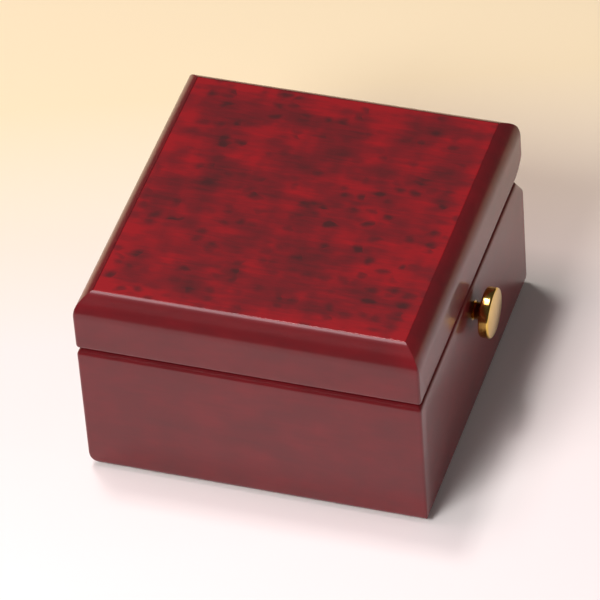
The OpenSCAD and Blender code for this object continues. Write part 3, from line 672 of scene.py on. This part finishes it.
# ---- Movement -----------------------------------------------------------------------------
# A spring-driven cylinder movement on a die-cast zinc bed: a brass spring barrel, wheels and
# pinned cylinder, a steel comb held by two screws, and a worm that turns the fan.
movement_brass = brass_finish("movement_brass", 0.24, (0.82, 0.58, 0.22), (0.68, 0.45, 0.15))
zinc_casting = steel_finish("zinc_casting", 0.48, (0.52, 0.53, 0.55))
finish_nodes(movement_brass, "rear_bearing", "train_plate", "governor_bracket", "spring_barrel",
             "barrel_cover", "pinned_cylinder", "crown_driven_wheel", "great_wheel", "worm_wheel", "fan")
finish_nodes(bright_steel, "movement_screws", "arbor_post", "comb", "comb_screws", "mainspring",
             "winding_arbor", "arbor_collar", "cylinder_arbor", "pinion_arbor", "worm")
finish_nodes(zinc_casting, "bedplate")

# ---- Inside of the case -------------------------------------------------------------------
# The bottom is a thin plywood panel in a groove. A lacquered divider and two ledges carry a
# loose pane of glass over the movement.


def plywood_finish():
    """Pale plywood: long grain from a stretched noise along X, with finer pores, matt."""
    made, shader, add, link = node_material("plywood")
    place = add("TexCoord").outputs["Object"]
    stretch = add("Mapping")
    stretch.inputs["Scale"].default_value = (0.06, 1, 1)
    link(place, stretch.inputs["Vector"])
    grain = add("TexNoise", Scale=420.0, Detail=6.0, Roughness=0.65)
    link(stretch.outputs[0], grain.inputs["Vector"])
    link(ramp(add, link, grain.outputs["Fac"], [(0.3, (0.32, 0.19, 0.09)), (0.7, (0.60, 0.42, 0.24))]),
         shader.inputs["Base Color"])
    shader.inputs["Roughness"].default_value = 0.7
    relief = add("Bump", Strength=0.3, Distance=0.0001)
    link(grain.outputs["Fac"], relief.inputs["Height"])
    link(relief.outputs["Normal"], shader.inputs["Normal"])
    return made


def glass_finish():
    """Clear glass with a trace of green and a slight waviness."""
    made, shader, add, link = node_material("cover_glass")
    shader.inputs["Base Color"].default_value = (0.93, 0.98, 0.96, 1)
    shader.inputs["Roughness"].default_value = 0.02
    shader.inputs["IOR"].default_value = 1.46
    shader.inputs["Transmission Weight"].default_value = 1.0
    wave = add("TexNoise", Scale=25.0, Detail=1.0)
    link(add("TexCoord").outputs["Object"], wave.inputs["Vector"])
    relief = add("Bump", Strength=0.03, Distance=0.0003)
    link(wave.outputs["Fac"], relief.inputs["Height"])
    link(relief.outputs["Normal"], shader.inputs["Normal"])
    return made


finish_nodes(plywood_finish(), "bottom_panel")
finish_nodes(board_lacquer, "divider", "glass_ledges")
finish_nodes(glass_finish(), "glass_cover")

# ---- Velvet -------------------------------------------------------------------------------
# Wine-red velvet on thin card lines the tray, and two padded cushions, one on the tray's floor
# and one inside the lid, are the same velvet drawn over wadding.


def velvet_finish(name, pile, shade, grain_scale):
    """Short pile: a fine noise moves the colour between pile and shade, slower noise marks where the nap
    lies over, and a strong sheen lights the edges."""
    made, shader, add, link = node_material(name)
    place = add("TexCoord").outputs["Object"]
    nap = add("TexNoise", Scale=grain_scale, Detail=5.0, Roughness=0.7)
    link(place, nap.inputs["Vector"])
    brushed = add("TexNoise", Scale=70.0, Detail=2.0)
    link(place, brushed.inputs["Vector"])
    mixed = add("Math", operation="MULTIPLY_ADD")
    link(brushed.outputs["Fac"], mixed.inputs[0])
    mixed.inputs[1].default_value = 0.8
    link(nap.outputs["Fac"], mixed.inputs[2])
    link(ramp(add, link, mixed.outputs[0], [(0.7, shade), (1.0, pile)]), shader.inputs["Base Color"])
    shader.inputs["Roughness"].default_value = 0.95
    shader.inputs["Specular IOR Level"].default_value = 0.1
    shader.inputs["Sheen Weight"].default_value = 0.7
    shader.inputs["Sheen Roughness"].default_value = 0.35
    shader.inputs["Sheen Tint"].default_value = (1.0, 0.45, 0.5, 1)
    relief = add("Bump", Strength=0.5, Distance=0.0003)
    link(nap.outputs["Fac"], relief.inputs["Height"])
    link(relief.outputs["Normal"], shader.inputs["Normal"])
    return made


velvet = velvet_finish("velvet", (0.20, 0.008, 0.018), (0.07, 0.003, 0.008), 2400.0)
cushion_corner, lining_corner, lining_edge, cloth_crease = 2.0, 0.6, 0.55, 60


def padded_cushion(name, node, body, voxel, cap):
    """A cushion blown up by cloth simulation from a plate a little smaller than its CAD solid: the plate
    is remeshed into small voxels and swells under pressure, no point moves further than the cap, and it
    stays inside the solid's box."""
    low, high = (np.array(corner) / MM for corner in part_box(node))
    middle, half = (low + high) / 2, (high - low) / 2
    under, over, side_gap, fullness, frames = 0.35, 0.55, 0.05, 0.6, 20
    curve = np.radians(np.linspace(0, 180, 13))
    bulge = ((high[2] - over) - (low[2] + under)) / 2
    centre_z = middle[2] + (under - over) / 2
    levels = [(side_gap + bulge * (1 - math.sin(a)) * fullness, centre_z - bulge * math.cos(a))
              for a in curve]
    piece = stepped_plate(name, half[0], half[1], levels, cushion_corner, velvet, body, [node],
                          (middle[0], middle[1]), cloth_crease)
    piece.parent = None
    remesh = piece.modifiers.new("small_cells", "REMESH")
    remesh.mode, remesh.voxel_size = "VOXEL", voxel * MM
    graph = bpy.context.evaluated_depsgraph_get()
    piece.data = bpy.data.meshes.new_from_object(piece.evaluated_get(graph))
    piece.modifiers.clear()
    count = len(piece.data.vertices)
    before = np.empty(count * 3)
    piece.data.vertices.foreach_get("co", before)
    before = before.reshape(-1, 3)
    cloth = piece.modifiers.new("wadding", "CLOTH")
    cloth.settings.use_pressure = True
    cloth.settings.uniform_pressure_force = 4
    cloth.settings.effector_weights.gravity = 0
    cloth.settings.quality = 6
    scene = bpy.context.scene
    for step in range(1, frames + 1):
        scene.frame_set(step)
    graph = bpy.context.evaluated_depsgraph_get()
    swollen = bpy.data.meshes.new_from_object(piece.evaluated_get(graph))
    after = np.empty(count * 3)
    swollen.vertices.foreach_get("co", after)
    move = after.reshape(-1, 3) - before
    length = np.linalg.norm(move, axis=1, keepdims=True)
    move *= np.minimum(1, cap * MM / np.maximum(length, 1e-9))
    placed = np.clip(before + move, low * MM, high * MM)
    piece.modifiers.clear()
    piece.data.vertices.foreach_set("co", placed.ravel())
    scene.frame_set(1)
    smooth = piece.modifiers.new("round_off", "SUBSURF")
    smooth.levels = smooth.render_levels = 1
    piece.data.shade_smooth()
    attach(piece, body)


padded_cushion("tray_cushion", "tray_floor_pad", "case", 1.3, 0.8)
padded_cushion("lid_cushion", "lid_pad", "lid", 1.6, 0.9)
for where in ("front", "back", "left", "right"):
    node = f"tray_{where}_lining"
    low, high = (np.array(corner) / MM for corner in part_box(node))
    middle, half = (low + high) / 2, (high - low) / 2
    inset, drop = (lining_edge * (1 - wave(corner_turn)) for wave in (np.sin, np.cos))
    levels = [*zip(inset, low[2] + drop), *zip(drop, high[2] - inset)]
    lining = stepped_plate(f"velvet_{where}_lining", half[0], half[1], levels, lining_corner, velvet, "case",
                           [node], (middle[0], middle[1]), cloth_crease)

# ---- Foot felt ----------------------------------------------------------------------------
# A ring of thin dark red felt, four mitred strips glued under the boards, keeps the box off the
# table. The strips are wide in front and on the right, and narrow where the foot is well rounded.
felt_low, felt_high = (np.array(corner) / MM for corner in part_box("base_felt"))
felt = velvet_finish("foot_felt", (0.16, 0.015, 0.018), (0.06, 0.008, 0.010), 1500.0)
inner_half = np.array([half_w - wall, half_d - wall])
soft_edge = 0.2


def ring_band(name, low, high, inner, edge, finish, body, nodes):
    """A flat ring between its box and an inner rectangle: a section with softened lower edges is carried
    round both, as six rings of points joined by quads."""
    rings = []
    middle, outer, none = (low + high)[:2] / 2, (high - low)[:2] / 2, np.zeros(2)
    for centre, half, r, z in ((middle, outer, 1.0, high[2]), (middle, outer, 1.0, low[2] + edge),
                               (middle, outer - edge, 0.8, low[2]), (none, inner + edge, 0.6, low[2]),
                               (none, inner, 0.3, low[2] + edge), (none, inner, 0.3, high[2])):
        x = centre[0] + corner_x * (half[0] - r) + r * np.cos(four_corners)
        y = centre[1] + corner_y * (half[1] - r) + r * np.sin(four_corners)
        rings.append(np.stack([x, y, 0 * x + z], -1))
    count = len(four_corners)
    index = np.arange(len(rings) * count).reshape(len(rings), count)
    after, below = np.roll(index, -1, axis=1), np.roll(index, -1, axis=0)
    quads = np.stack([index, after, np.roll(below, -1, axis=1), below], -1).reshape(-1, 4).tolist()
    return mesh_piece(name, np.concatenate(rings) * MM, quads, finish, body, nodes,
                      soft_crease)


felt_ring = ring_band("felt_ring", felt_low, felt_high, inner_half, soft_edge, felt, "case",
                      ["base_felt"])
# the strips' widths added together, and their mean length
strips_across = float(((felt_high - felt_low)[:2] - 2 * inner_half).sum())
strip_length = float((felt_high - felt_low)[:2].prod() - 4 * inner_half.prod()) / strips_across
